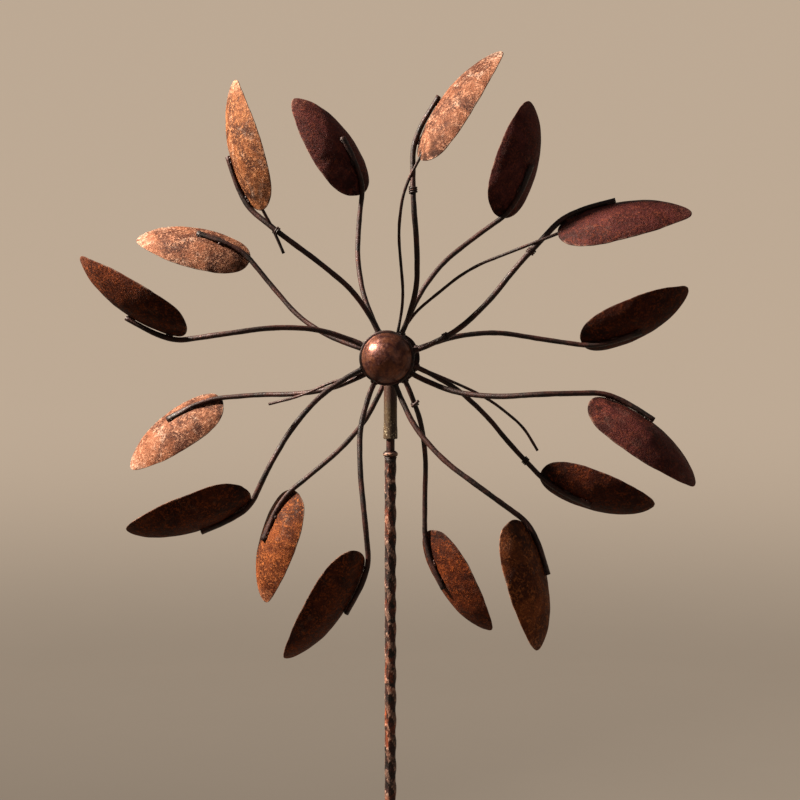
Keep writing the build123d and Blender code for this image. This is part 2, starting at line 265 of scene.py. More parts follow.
class Recipe:
    """A node material being put together, with short calls for its nodes."""

    def __init__(self, name):
        self.material = bpy.data.materials.new(name)
        self.material.use_nodes = True
        self.tree = self.material.node_tree
        self.tree.nodes.clear()
        self.place = self.add("ShaderNodeTexCoord").outputs["Object"]

    def add(self, kind, settings=None, sockets=None):
        node = self.tree.nodes.new(kind)
        for name, value in (settings or {}).items():
            setattr(node, name, value)
        for name, value in (sockets or {}).items():
            if isinstance(value, bpy.types.NodeSocket):
                self.tree.links.new(value, node.inputs[name])
            else:
                node.inputs[name].default_value = value
        return node

    def noise(self, grain, detail=4.0, rough=0.6, distortion=0.0, place=None):
        """Noise whose largest marks are one grain apart, in metres."""
        sockets = {"Vector": place or self.place, "Scale": 1 / grain, "Detail": detail,
                   "Roughness": rough, "Distortion": distortion}
        return self.add("ShaderNodeTexNoise", None, sockets).outputs["Fac"]

    def cells(self, grain):
        """Distance to the nearest of points that lie one grain apart."""
        sockets = {"Vector": self.place, "Scale": 1 / grain}
        return self.add("ShaderNodeTexVoronoi", {"feature": "F1"}, sockets).outputs["Distance"]

    def stretched(self, scale):
        """Object coordinates scaled by axis, so that marks come out long where a scale is small."""
        sockets = {"Vector": self.place, "Scale": scale}
        return self.add("ShaderNodeMapping", None, sockets).outputs["Vector"]

    def attribute(self, name):
        return self.add("ShaderNodeAttribute", {"attribute_name": name}).outputs["Fac"]

    def band(self, value, low, high, to_low=0.0, to_high=1.0):
        """Maps low..high of a value to 0..1 smoothly."""
        sockets = {"Value": value, "From Min": low, "From Max": high,
                   "To Min": to_low, "To Max": to_high}
        settings = {"interpolation_type": "SMOOTHSTEP"}
        return self.add("ShaderNodeMapRange", settings, sockets).outputs["Result"]

    def math(self, operation, first, second):
        node = self.add("ShaderNodeMath", {"operation": operation})
        for socket, value in zip(node.inputs, (first, second)):
            if isinstance(value, bpy.types.NodeSocket):
                self.tree.links.new(value, socket)
            else:
                socket.default_value = value
        return node.outputs[0]

    def blend(self, share, first, second):
        """Goes from one colour to another by a share."""
        node = self.add("ShaderNodeMix", {"data_type": "RGBA", "blend_type": "MIX"})
        wanted = (("Factor_Float", share), ("A_Color", first), ("B_Color", second))
        for identifier, value in wanted:
            socket = next(s for s in node.inputs if s.identifier == identifier)
            if isinstance(value, bpy.types.NodeSocket):
                self.tree.links.new(value, socket)
            elif identifier == "Factor_Float":
                socket.default_value = value
            else:
                socket.default_value = (*value, 1.0)
        return next(s for s in node.outputs if s.identifier == "Result_Color")

    def bump(self, layers):
        """Chained bumps from (height, distance in metres) pairs."""
        normal = None
        for height, distance in layers:
            sockets = {"Height": height, "Distance": distance, "Strength": 1.0}
            if normal is not None:
                sockets["Normal"] = normal
            normal = self.add("ShaderNodeBump", None, sockets).outputs["Normal"]
        return normal

    def times(self, first, second):
        return self.math("MULTIPLY", first, second)

    def shader(self, colour, roughness, normal, metallic, specular):
        """Ends the recipe with its surface, and gives the material."""
        surface = self.add("ShaderNodeBsdfPrincipled", None,
                           {"Base Color": colour, "Roughness": roughness, "Normal": normal})
        surface.inputs["Metallic"].default_value = metallic
        surface.inputs["Specular IOR Level"].default_value = specular
        self.add("ShaderNodeOutputMaterial", None, {"Surface": surface.outputs["BSDF"]})
        return self.material


def leaf_rust(name, colours, deep, body, bright, pale_share, bright_share):
    """Rusted sheet: a deep and a body colour in soft patches, bright flecks, and pale rubs."""
    mix = Recipe(name)
    patches = mix.noise(30 * MM, 5, 0.62, 0.8)
    clouds = mix.noise(9 * MM, 5, 0.68, 0.3)
    flecks = mix.noise(2.4 * MM, 5, 0.75)
    grains = mix.noise(1.05 * MM, 3, 0.75)
    pits = mix.cells(2.4 * MM)
    rim = mix.attribute("rim")
    reach = mix.attribute("reach")
    colour = mix.blend(mix.band(patches, 0.40, 0.60), deep, body)
    fleck_share = mix.times(mix.band(flecks, 0.47, 0.60), mix.band(clouds, 0.36, 0.58))
    fleck_share = mix.times(fleck_share, bright_share)
    colour = mix.blend(fleck_share, colour, bright)
    # Darker towards the leaf's foot, in cloudy patches.
    foot_darkening = mix.times(mix.band(reach, 0.42, 0.0), mix.band(clouds, 0.62, 0.40))
    dark_spots = mix.times(mix.band(grains, 0.50, 0.36), 0.80)
    dark_spots = mix.math("MAXIMUM", dark_spots, mix.times(foot_darkening, 0.75))
    colour = mix.blend(dark_spots, colour, colours.rust_black)
    worn = mix.times(mix.band(rim, 0.965, 1.0), mix.band(clouds, 0.44, 0.62))
    worn = mix.times(worn, 0.12 + 0.3 * pale_share)
    tip_wear = mix.times(mix.band(reach, 0.84, 1.0), mix.band(flecks, 0.40, 0.60))
    tip_wear = mix.times(tip_wear, pale_share)
    rubs = mix.times(mix.band(mix.noise(16 * MM, 4, 0.7, 0.6), 0.54, 0.70), pale_share)
    rubs = mix.times(rubs, mix.band(grains, 0.42, 0.60))
    pale = mix.math("MAXIMUM", mix.math("MAXIMUM", worn, tip_wear), rubs)
    colour = mix.blend(pale, colour, colours.rust_pale)
    roughness = mix.band(flecks, 0.35, 0.70, 0.46, 0.80)
    normal = mix.bump([(clouds, 0.9 * MM), (flecks, 0.7 * MM),
                       (grains, 0.45 * MM), (pits, 0.15 * MM)])
    return mix.shader(colour, roughness, normal, 0.0, 0.06)


def rod_rust(name, colours, warmth):
    """Dark forged rod with red-brown rust along it."""
    mix = Recipe(name)
    patches = mix.noise(18 * MM, 5, 0.65, 0.4)
    flecks = mix.noise(2.2 * MM, 5, 0.7)
    grains = mix.noise(0.9 * MM, 3, 0.6)
    colour = mix.blend(mix.band(patches, 0.36, 0.66), colours.rust_black, colours.rust_maroon)
    warm_flecks = mix.times(mix.band(flecks, 0.52, 0.70), warmth)
    colour = mix.blend(warm_flecks, colour, colours.rust_brown)
    chips = mix.times(mix.band(grains, 0.60, 0.74), mix.band(patches, 0.48, 0.62))
    colour = mix.blend(mix.times(chips, 0.65), colour, colours.rust_orange)
    roughness = mix.band(flecks, 0.30, 0.72, 0.38, 0.72)
    normal = mix.bump([(flecks, 0.30 * MM), (grains, 0.15 * MM)])
    return mix.shader(colour, roughness, normal, 0.2, 0.3)


def weld_scale(colours):
    """Blue-black burnt scale of the hubs, with rust breaking through."""
    mix = Recipe("burnt_scale")
    patches = mix.noise(11 * MM, 5, 0.66, 0.5)
    flecks = mix.noise(1.8 * MM, 5, 0.7)
    colour = mix.blend(mix.band(patches, 0.38, 0.62), colours.rust_black, colours.rust_maroon)
    colour = mix.blend(mix.band(flecks, 0.56, 0.74), colour, colours.rust_brown)
    roughness = mix.band(flecks, 0.3, 0.7, 0.42, 0.75)
    normal = mix.bump([(patches, 0.3 * MM), (flecks, 0.25 * MM)])
    return mix.shader(colour, roughness, normal, 0.3, 0.35)


def cap_copper(colours):
    """Copper-brown burnished dome, mottled with maroon and dark spots."""
    mix = Recipe("burnished_cap")
    patches = mix.noise(13 * MM, 5, 0.62, 0.8)
    clouds = mix.noise(4.5 * MM, 5, 0.68, 0.3)
    flecks = mix.noise(1.3 * MM, 4, 0.7)
    rings = mix.noise(3 * MM, 3, 0.6, 0.0, mix.stretched((0.5, 4.0, 0.5)))
    colour = mix.blend(mix.band(patches, 0.38, 0.60), (0.050, 0.014, 0.012), colours.copper)
    colour = mix.blend(mix.times(mix.band(clouds, 0.52, 0.72), 0.4), colour, (0.24, 0.115, 0.08))
    colour = mix.blend(mix.times(mix.band(flecks, 0.42, 0.30), 0.8), colour, colours.rust_black)
    colour = mix.blend(mix.times(mix.band(rings, 0.58, 0.72), 0.3), colour, colours.rust_orange)
    roughness = mix.band(clouds, 0.30, 0.70, 0.27, 0.50)
    normal = mix.bump([(clouds, 0.22 * MM), (flecks, 0.10 * MM)])
    return mix.shader(colour, roughness, normal, 0.7, 0.5)


def sleeve_patina(colours):
    """Olive-brown painted tube, speckled low down, with a painted maroon shadow at its top under
    the hub.
    """
    mix = Recipe("olive_sleeve")
    clouds = mix.noise(12 * MM, 5, 0.66, 0.5, mix.stretched((1.0, 1.0, 0.35)))
    flecks = mix.noise(1.7 * MM, 4, 0.72)
    grains = mix.noise(0.8 * MM, 3, 0.6)
    height = mix.add("ShaderNodeSeparateXYZ", None, {"Vector": mix.place}).outputs["Z"]
    low = mix.band(height, HUB_HEIGHT - 45 * MM, SLEEVE_BOX[0].z)
    # Top band of the tube under the boss and hub, where the painted shadow goes.
    top = mix.band(height, HUB_HEIGHT - 52 * MM, HUB_HEIGHT - 34 * MM)
    colour = mix.blend(mix.band(clouds, 0.38, 0.72), (0.030, 0.016, 0.008), colours.olive)
    colour = mix.blend(mix.times(mix.band(clouds, 0.55, 0.68), 0.65), colour, (0.15, 0.058, 0.018))
    # Painted shadow: the top of the tube, under the boss and hub, darkens to maroon.
    colour = mix.blend(mix.times(top, 0.75), colour, colours.rust_maroon)
    speckle = mix.times(mix.band(flecks, 0.55, 0.66), mix.math("ADD", 0.06, low))
    colour = mix.blend(speckle, colour, (0.48, 0.40, 0.26))
    colour = mix.blend(mix.times(mix.band(grains, 0.42, 0.32), 0.6), colour, colours.rust_black)
    roughness = mix.band(flecks, 0.3, 0.7, 0.42, 0.70)
    normal = mix.bump([(flecks, 0.18 * MM), (grains, 0.08 * MM)])
    return mix.shader(colour, roughness, normal, 0.1, 0.3)


def pole_rust(colours):
    """Black-brown hammered pole with orange-red rust patches and pale dent rims, partly wear,
    partly painted glint.
    """
    mix = Recipe("hammered_pole")
    patches = mix.noise(30 * MM, 5, 0.62, 0.7, mix.stretched((1.0, 1.0, 0.55)))
    clouds = mix.noise(7 * MM, 5, 0.68, 0.4)
    flecks = mix.noise(1.9 * MM, 5, 0.72)
    grains = mix.noise(0.9 * MM, 3, 0.6)
    edge = mix.attribute("rim_rub_and_glint")
    colour = mix.blend(mix.band(clouds, 0.38, 0.66), colours.rust_black, colours.rust_maroon)
    rust = mix.times(mix.band(patches, 0.50, 0.66), mix.band(clouds, 0.36, 0.60))
    colour = mix.blend(mix.times(rust, 0.85), colour, (0.29, 0.062, 0.018))
    colour = mix.blend(mix.times(mix.band(flecks, 0.54, 0.70), 0.45), colour, colours.rust_brown)
    # Pale dent rims: partly rubbed wear, partly a painted glint of light on the hammer marks.
    rubbed = mix.times(mix.band(edge, 0.30, 0.90), mix.band(clouds, 0.40, 0.58))
    colour = mix.blend(mix.times(rubbed, 0.85), colour, (0.42, 0.25, 0.18))
    roughness = mix.band(flecks, 0.3, 0.7, 0.40, 0.74)
    normal = mix.bump([(clouds, 0.35 * MM), (flecks, 0.25 * MM), (grains, 0.12 * MM)])
    return mix.shader(colour, roughness, normal, 0.15, 0.3)


def turned_metal(name, colour, tarnish, rough):
    """Turned or ground metal with fine tool marks and a little tarnish."""
    mix = Recipe(name)
    marks = mix.noise(0.35 * MM, 3, 0.5, 0.0, mix.stretched((0.25, 1.0, 0.25)))
    clouds = mix.noise(6 * MM, 4, 0.6, 0.4)
    shade = mix.blend(mix.band(clouds, 0.42, 0.70), colour, tarnish)
    shade = mix.blend(mix.times(mix.band(marks, 0.5, 0.7), 0.25), shade, tarnish)
    roughness = mix.band(clouds, 0.3, 0.7, rough, rough + 0.2)
    return mix.shader(shade, roughness, mix.bump([(marks, 0.03 * MM)]), 1.0, 0.5)


def floor_plaster(settings):
    """Pale plain floor that runs up into a wall, which glows softly behind the spinner."""
    mix = Recipe("studio_floor")
    clouds = mix.noise(0.5, 3, 0.5)
    places = mix.add("ShaderNodeSeparateXYZ", None, {"Vector": mix.place}).outputs
    height = mix.band(places["Z"], -1.3, 1.1)
    behind = mix.band(places["Y"], -2.0, 4.0, 0.30, 1.0)
    ground = mix.blend(mix.band(clouds, 0.3, 0.7), (0.185, 0.165, 0.140), (0.205, 0.182, 0.155))
    colour = mix.blend(mix.band(places["Z"], 0.0, 0.8), ground, (0.34, 0.29, 0.23))
    floor = mix.shader(colour, mix.band(clouds, 0.3, 0.7, 0.75, 0.85),
                       mix.bump([(mix.noise(4 * MM, 2), 0.05 * MM)]), 0.0, 0.2)
    surface = next(node for node in mix.tree.nodes if node.type == "BSDF_PRINCIPLED")
    surface.inputs["Emission Color"].default_value = (1.0, 0.80, 0.61, 1.0)
    glow = mix.times(mix.times(height, behind), settings.wall_glow)
    mix.tree.links.new(glow, surface.inputs["Emission Strength"])
    return floor


def finishes():
    """Every material by its finish, made once."""
    found = {m["spinner_finish"]: m for m in bpy.data.materials if "spinner_finish" in m}
    if found:
        return found
    c = bpy.context.scene.spinner_colours
    made = {
        # Leaf rusts, light to dark: partly real, partly painted light and shade; the lit ones get
        # more pale rubs.
        "leaf_sunny": leaf_rust("leaf_sunny", c, (0.060, 0.018, 0.010), (0.19, 0.066, 0.032),
                                (0.43, 0.210, 0.128), 0.46, 0.85),
        "leaf_orange": leaf_rust("leaf_orange", c, (0.055, 0.015, 0.006), (0.175, 0.055, 0.018),
                                 (0.39, 0.165, 0.072), 0.30, 0.85),
        "leaf_amber": leaf_rust("leaf_amber", c, (0.050, 0.011, 0.004), (0.140, 0.034, 0.009),
                                (0.34, 0.105, 0.030), 0.10, 0.8),
        "leaf_brown": leaf_rust("leaf_brown", c, (0.026, 0.0048, 0.002), (0.062, 0.012, 0.0035),
                                (0.23, 0.052, 0.011), 0.05, 0.7),
        "leaf_maroon": leaf_rust("leaf_maroon", c, (0.040, 0.0085, 0.0075), (0.078, 0.018, 0.016),
                                 (0.17, 0.042, 0.022), 0.06, 0.65),
        "leaf_scale": leaf_rust("leaf_scale", c, (0.020, 0.0034, 0.0018), (0.040, 0.007, 0.0028),
                                (0.18, 0.038, 0.008), 0.03, 0.6),
        "rod": rod_rust("forged_rod", c, 0.55),
        "tie": rod_rust("rusty_tie", c, 0.8),
        "hub": weld_scale(c),
        "cap": cap_copper(c),
        "sleeve": sleeve_patina(c),
        "pole": pole_rust(c),
        "steel": turned_metal("turned_steel", (0.36, 0.34, 0.32), (0.13, 0.085, 0.06), 0.32),
        "bearing": turned_metal("ground_steel", (0.56, 0.56, 0.57), (0.42, 0.41, 0.40), 0.18),
        "bronze": turned_metal("bush_bronze", (0.52, 0.31, 0.13), (0.30, 0.16, 0.07), 0.28),
        "floor": floor_plaster(bpy.context.scene.spinner_stage),
    }
    for finish, material in made.items():
        material["spinner_finish"] = finish
    return made


# --- Leaves -------------------------------------------------------------------------------------

LEAF_STEPS = (38, 20)
BROAD_DENT = 0.021
SMALL_DENT = 0.009

# Rust tone of each leaf, first to eighth on each rotor: partly weathering, partly painted light and
# shade.
# Leaves that face the key light get the lighter tones, and shaded leaves get the darker ones.
LEAF_TONES_WITH_PAINTED_LIGHT = {
    "front": ["maroon", "sunny", "orange", "brown", "brown", "brown", "amber", "maroon"],
    "rear": ["scale", "maroon", "maroon", "sunny", "sunny", "amber", "brown", "scale"],
}


def leaf_seat(node, sizes):
    """Matrix of one CAD leaf: X from foot to tip, Y across, Z out of the convex side."""
    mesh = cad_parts[node].data
    points = [vert.co.copy() for vert in mesh.vertices]
    mean = sum(points, Vector()) / len(points)
    first = max(points, key=lambda p: (p - mean).length)
    second = max(points, key=lambda p: (p - first).length)
    ends = []
    for extreme in (first, second):
        near = [p for p in points if (p - extreme).length < 1.2 * sizes.thickness]
        ends.append(sum(near, Vector()) / len(near))
    foot, tip = sorted(ends, key=lambda p: (p - HUB).xz.length)
    along = (tip - foot).normalized()
    area = sum(face.area for face in mesh.polygons)
    centroid = sum((face.center * face.area for face in mesh.polygons), Vector()) / area
    middle = (foot + tip) / 2
    rise = centroid - middle
    normal = (rise - along * rise.dot(along)).normalized()
    across = normal.cross(along)
    half = sizes.length / 2
    bow = sizes.bow_radius - math.sqrt(sizes.bow_radius**2 - half**2)
    seat = Matrix((along, across, normal)).transposed().to_4x4()
    seat.translation = middle + normal * (bow + sizes.thickness / 2)
    return seat


def leaf_half_width(reach, sizes):
    """Half the leaf's width at a place from -1, its foot, to 1, its tip."""
    fullness = 0.974 - 0.165 * reach + 0.015 * reach**2 - 0.153 * reach**3
    return sizes.width / 2 * fullness


def on_skin(x, y, sizes):
    """Point of the leaf's outer skin over a place along and across it."""
    roll = math.asin(max(-1.0, min(1.0, y / sizes.cup_radius)))
    reach = sizes.bow_radius - sizes.cup_radius * (1 - math.cos(roll))
    turn = math.asin(x / reach)
    return Vector((x, y, reach * math.cos(turn) - sizes.bow_radius))


def make_leaf(rotor, number):
    """One leaf, beaten from a flat sheet, with a filed rim."""
    sizes = bpy.context.scene.spinner_leaf
    node = f"{rotor}_leaf_{number}"
    seat = leaf_seat(node, sizes)
    seed = number * 3.7 + (0.0 if rotor == "front" else 41.0)
    bm = bmesh.new()
    rim_layer = bm.verts.layers.float.new("rim")
    reach_layer = bm.verts.layers.float.new("reach")
    bmesh.ops.create_grid(bm, x_segments=LEAF_STEPS[0], y_segments=LEAF_STEPS[1], size=1.0)
    for vert in bm.verts:
        # The square grid is drawn in to a disc, and the disc out to the leaf's outline.
        u, v = vert.co.x, vert.co.y
        round_x = u * math.sqrt(1 - v * v / 2)
        round_y = v * math.sqrt(1 - u * u / 2)
        centred = min(1.0, math.hypot(round_x, round_y))
        wander = noise.noise(Vector((round_x * 2.2, round_y * 2.2, seed)))
        wander += 0.5 * noise.noise(Vector((round_x * 7.0, round_y * 7.0, seed)))
        wave = 1 + wander * sizes.rim_wave / (sizes.width / 2) * centred**4
        place = on_skin(round_x * sizes.length / 2 * min(wave, 1.0),
                        round_y * leaf_half_width(round_x, sizes) * wave, sizes)
        dent = noise.noise(Vector((place.x / BROAD_DENT, place.y / BROAD_DENT, seed + 9.0)))
        fine = Vector((place.x / SMALL_DENT, place.y / SMALL_DENT, seed + 17.0))
        dent += 0.55 * noise.noise(fine)
        place.z += (dent - 0.35) * sizes.beat_depth
        vert.co = place
        vert[rim_layer] = centred
        vert[reach_layer] = (round_x + 1) / 2
    bmesh.ops.recalc_face_normals(bm, faces=bm.faces)
    middle_face = min(bm.faces, key=lambda face: face.calc_center_median().xy.length)
    if middle_face.normal.z < 0:
        bmesh.ops.reverse_faces(bm, faces=bm.faces)
    bm.transform(seat)
    finish = finishes()["leaf_" + LEAF_TONES_WITH_PAINTED_LIGHT[rotor][number - 1]]
    piece = finish_piece(bm, f"beaten_{rotor}_leaf_{number}", finish, f"{rotor}_rotor",
                         [node], 180)
    wall = piece.modifiers.new("sheet", "SOLIDIFY")
    wall.thickness = sizes.thickness
    wall.offset = -1
    rim = piece.modifiers.new("filed rim", "BEVEL")
    rim.width = sizes.thickness * 0.28
    rim.segments = 1
    rim.limit_method = "ANGLE"
    rim.angle_limit = math.radians(55)
    skin = piece.modifiers.new("smooth sheet", "SUBSURF")
    skin.levels = 1
    skin.render_levels = 1


# --- Arms and tie wires -------------------------------------------------------------------------

# Sizes of the forging lumps, and where the beaten end starts and is full, back from its tip.
LONG_LUMP = 0.012
SHORT_LUMP = 0.004
TAB_START = 34 * MM
TAB_FULL = 16 * MM

# Weld runs on a leaf: how far back from the arm's tip, how many beads, and on which side.
LEAF_WELDS = ((3 * MM, 4, 1), (3 * MM, 3, -1), (26 * MM, 3, 1), (42 * MM, 3, -1))
LEAF_WELD_PITCH = 2.1 * MM

# Weld rings at the root of an arm, by distance from the axle.
ROOT_WELDS = (19.5 * MM, 26 * MM)

# Wire lashings: the arm, how far out, and how many turns.
LASHINGS = {
    "front": [(2, 0.159, 3.0), (1, 0.168, 2.5), (3, 0.156, 2.0), (1, 0.060, 2.0)],
    "rear": [(8, 0.172, 2.5), (7, 0.052, 2.0)],
}
LASHING_WIRE = 0.9 * MM
LASHING_SEGMENTS = 14


def rod_near(places, radius):
    """Centre and direction of a rod where it is that far from the rotor's axis."""
    step = 5 * MM
    bands = []
    for wanted in (radius - step, radius, radius + step):
        near = [p for p in places if abs((p - HUB).xz.length - wanted) < step]
        if not near:
            raise RuntimeError(f"the rod doesn't reach {wanted:.3f} m from the axis")
        bands.append(sum(near, Vector()) / len(near))
    return bands[1], (bands[2] - bands[0]).normalized()


def make_arm(rotor, number):
    """The CAD rod with forging marks, its end beaten flat on the leaf, and its weld beads."""
    iron = bpy.context.scene.spinner_iron
    sizes = bpy.context.scene.spinner_leaf
    node = f"{rotor}_arm_{number}"
    seat = leaf_seat(f"{rotor}_leaf_{number}", sizes)
    to_leaf = seat.inverted()
    seed = number * 5.1 + (0.0 if rotor == "front" else 23.0)
    bm = dense_copy(node, 4 * MM)
    bm.normal_update()
    places = [vert.co.copy() for vert in bm.verts]
    normals = {vert: vert.normal.copy() for vert in bm.verts}
    turned = to_leaf.to_3x3()
    local = {vert: to_leaf @ vert.co for vert in bm.verts}
    end = max(place.x for place in local.values())
    before_end = [p for p in local.values() if end - 14 * MM < p.x < end - 8 * MM]
    at_end = [p for p in local.values() if p.x > end - 3 * MM]
    tail = sum(at_end, Vector()) / len(at_end)
    heading = (tail - sum(before_end, Vector()) / len(before_end)).normalized()
    for vert in bm.verts:
        lump = noise.noise(vert.co / LONG_LUMP + Vector((seed, 0, 0)))
        lump += 0.6 * noise.noise(vert.co / SHORT_LUMP + Vector((0, seed, 0)))
        vert.co += normals[vert] * lump * iron.rod_unevenness
        beaten = smoothstep(end - TAB_START, end - TAB_FULL, local[vert].x)
        if beaten > 0:
            normal = turned @ normals[vert]
            upward = Vector((0, local[vert].y, sizes.cup_radius)).normalized()
            sideways = upward.cross(heading).normalized()
            spread = sideways * normal.dot(sideways) * iron.tab_spread
            squeeze = upward * max(0.0, normal.dot(upward)) * iron.tab_squeeze
            vert.co += seat.to_3x3() @ ((spread - squeeze) * beaten)
    add_arm_welds(bm, seat, local, end, heading, seed)
    add_root_welds(bm, places, seed)
    finish_piece(bm, f"forged_{rotor}_arm_{number}", finishes()["rod"], f"{rotor}_rotor",
                 [node], 50)


def add_arm_welds(bm, seat, local, end, heading, seed):
    """Short rows of beads down both sides of the rod where it is welded to its leaf."""
    iron = bpy.context.scene.spinner_iron
    sizes = bpy.context.scene.spinner_leaf
    for back, count, hand in LEAF_WELDS:
        for bead in range(count):
            x = end - back - bead * LEAF_WELD_PITCH
            near = [p for p in local.values() if abs(p.x - x) < 3 * MM]
            if not near:
                continue
            middle = sum(near, Vector()) / len(near)
            aside = Vector((-heading.y, heading.x, 0)).normalized() * hand
            place = middle + aside * (iron.rod_radius + 0.4 * MM)
            skin = on_skin(place.x, place.y, sizes)
            if abs(skin.z - middle.z) > iron.rod_radius + 1.6 * MM:
                continue
            wobble = noise.noise(Vector((x / 0.002, hand * 3.0, seed)))
            spot = seat @ (skin + Vector((0, wobble * 0.5 * MM, 0.3 * MM)))
            radius = iron.weld_radius * (0.85 + 0.3 * wobble)
            add_bead(bm, spot, radius, seat.to_3x3() @ heading, 1.25, seed + bead)


def add_root_welds(bm, places, seed):
    """Beads where the rod leaves the hub's flange."""
    iron = bpy.context.scene.spinner_iron
    for radius in ROOT_WELDS:
        place, along = rod_near(places, radius)
        lift = Vector((0, -math.copysign(0.9 * MM, place.y), 0))
        for hand in (-1, 1):
            aside = along.cross(Vector((0, 1, 0))).normalized() * hand
            spot = place - lift + aside * iron.rod_radius * 0.9
            add_bead(bm, spot, iron.weld_radius, along, 1.5, seed + radius * 900)


def add_lashing(bm, node, radius, turns):
    """A few turns of thin wire round an arm, with cut ends standing off."""
    wire = LASHING_WIRE
    rod = dense_copy(node, 4 * MM)
    place, along = rod_near([vert.co for vert in rod.verts], radius)
    rod.free()
    aside = along.cross(Vector((0, 1, 0))).normalized()
    loop = bpy.context.scene.spinner_iron.rod_radius + wire * 0.8
    pitch = wire * 2.1
    steps = int(turns * LASHING_SEGMENTS)
    start = place - along * (turns * pitch / 2)
    turn = along.cross(aside).to_track_quat("Z", "Y").to_matrix().to_4x4()
    made = bmesh.ops.create_circle(bm, cap_ends=False, segments=8, radius=wire,
                                   matrix=Matrix.Translation(start + aside * loop) @ turn)
    rim = made["verts"]
    edges = list({edge for vert in rim for edge in vert.link_edges})
    spun = bmesh.ops.spin(bm, geom=rim + edges, cent=place, axis=along,
                          dvec=along * (turns * pitch / steps), angle=FULL_TURN * turns,
                          space=Matrix.Identity(4), steps=steps,
                          use_merge=False, use_normal_flip=False, use_duplicate=False)
    last = [item for item in spun["geom_last"] if isinstance(item, bmesh.types.BMEdge)]
    for loop_edges in (edges, last):
        bmesh.ops.contextual_create(bm, geom=loop_edges)


def make_ties(rotor):
    """The thin tie wires with kinks, and their lashings on the arms."""
    node = f"{rotor}_tie_wires"
    bm = dense_copy(node, 4 * MM)
    roughen(bm, bm.verts, 0.18 * MM, 7 * MM)
    for number, radius, turns in LASHINGS[rotor]:
        add_lashing(bm, f"{rotor}_arm_{number}", radius, turns)
    bmesh.ops.recalc_face_normals(bm, faces=bm.faces)
    finish_piece(bm, f"{rotor}_lashed_ties", finishes()["tie"], f"{rotor}_rotor",
                 [node], 50)


# --- Hubs, caps and head ------------------------------------------------------------------------

HUB_WALL = 3 * MM
FLANGE_THICKNESS = 2.5 * MM
CAP_WALL = 1.5 * MM
CAP_ROLL = 1.1 * MM
SLEEVE_LIP = 0.5 * MM
SADDLE_BEADS = 30


def make_hub(rotor):
    """Bearing housing with a welded flange, its rim hammered over."""
    side = SIDE[rotor]
    barrel = BEARING_RADIUS + HUB_WALL
    back = HUB_END - FLANGE_THICKNESS
    edge = 1.1 * MM
    profile = [(BEARING_RADIUS, HUB_START), (barrel - 0.5 * MM, HUB_START)]
    profile += [(barrel, HUB_START + 0.5 * MM)]
    profile += [(barrel, (HUB_START + back) / 2), (barrel, back - 2.2 * MM)]
    profile += [(barrel + 0.5 * MM, back - 0.9 * MM), (barrel + 2.2 * MM, back)]
    profile += [(FLANGE_RADIUS - 4 * MM, back)]
    profile += arc((FLANGE_RADIUS - edge, back + edge), edge, -90, 0, 4)
    profile += arc((FLANGE_RADIUS - edge, HUB_END - edge), edge, 0, 90, 4)
    profile += [(FLANGE_RADIUS - 4 * MM, HUB_END), (BEARING_RADIUS, HUB_END)]
    bm = bmesh.new()
    lathe(bm, profile, HUB, (0, side, 0), 96)
    outside = [v for v in bm.verts if (v.co - HUB).xz.length > BEARING_RADIUS + 0.5 * MM]
    rough_rim = [v for v in outside if (v.co - HUB).xz.length > barrel + 1 * MM]
    roughen(bm, rough_rim, 0.28 * MM, 5 * MM, side)
    finish_piece(bm, f"{rotor}_hub_turned", finishes()["hub"], f"{rotor}_rotor",
                 [f"{rotor}_hub"], 35)


def make_cap(rotor):
    """Beaten dome over the axle end, with a rolled edge."""
    iron = bpy.context.scene.spinner_iron
    side = SIDE[rotor]
    wall = CAP_WALL
    roll = CAP_ROLL
    dome = (CAP_RADIUS**2 + CAP_HEIGHT**2) / (2 * CAP_HEIGHT)
    centre = (0.0, HUB_END + CAP_HEIGHT - dome)
    foot = math.degrees(math.asin((HUB_END + 2.6 * roll - centre[1]) / dome))
    inner_foot = math.degrees(math.asin((HUB_END - centre[1]) / (dome - wall)))
    profile = [(0.0, centre[1] + dome - wall)]
    profile += list(reversed(arc(centre, dome - wall, inner_foot, 89, 14)))
    profile += arc((CAP_RADIUS - roll, HUB_END + roll), roll, -90, 60, 7)
    profile += arc(centre, dome, foot, 89, 34)
    profile += [(0.0, centre[1] + dome)]
    bm = bmesh.new()
    lathe(bm, profile, HUB, (0, side, 0), 96, closed=False)
    ball = HUB + Vector((0, side * centre[1], 0))
    outer = [v for v in bm.verts if (v.co - ball).length > dome - wall / 2]
    for vert in outer:
        flat = noise.noise(vert.co / (3.4 * MM)) + 0.5 * noise.noise(vert.co / (1.6 * MM))
        away = (vert.co - ball).normalized()
        vert.co += away * (flat - 0.6) * iron.planish_depth
    finish_piece(bm, f"{rotor}_cap_beaten", finishes()["cap"], f"{rotor}_rotor",
                 [f"{rotor}_cap"], 40)


